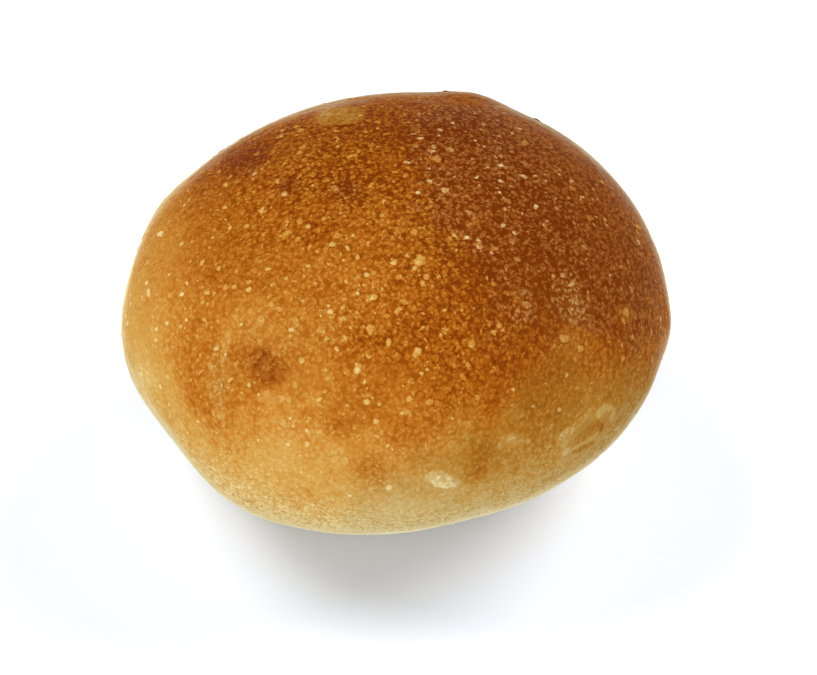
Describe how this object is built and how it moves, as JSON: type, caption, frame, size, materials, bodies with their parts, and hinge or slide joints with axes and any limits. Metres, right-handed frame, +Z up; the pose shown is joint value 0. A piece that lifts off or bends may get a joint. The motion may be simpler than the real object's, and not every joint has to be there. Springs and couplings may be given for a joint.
{
  "type": "round bread loaf",
  "caption": "Small round uncut bread loaf with a smooth golden-brown domed crust, fine pale blisters, a pale lower side and a flat base.",
  "frame": {"origin": "on the level the loaf stands on, under the middle of its bounding box", "axes": "+Z up; +X along the longer way across, to the right of the side that shows most in the picture, which faces -Y"},
  "size_m": [0.112, 0.1026, 0.066],
  "materials": {
    "crust": "dry baked crust, golden brown with a soft satin sheen on top, pale and floury towards the base"
  },
  "bodies": {
    "root": {"loaf": "crust"}
  },
  "joints": []
}
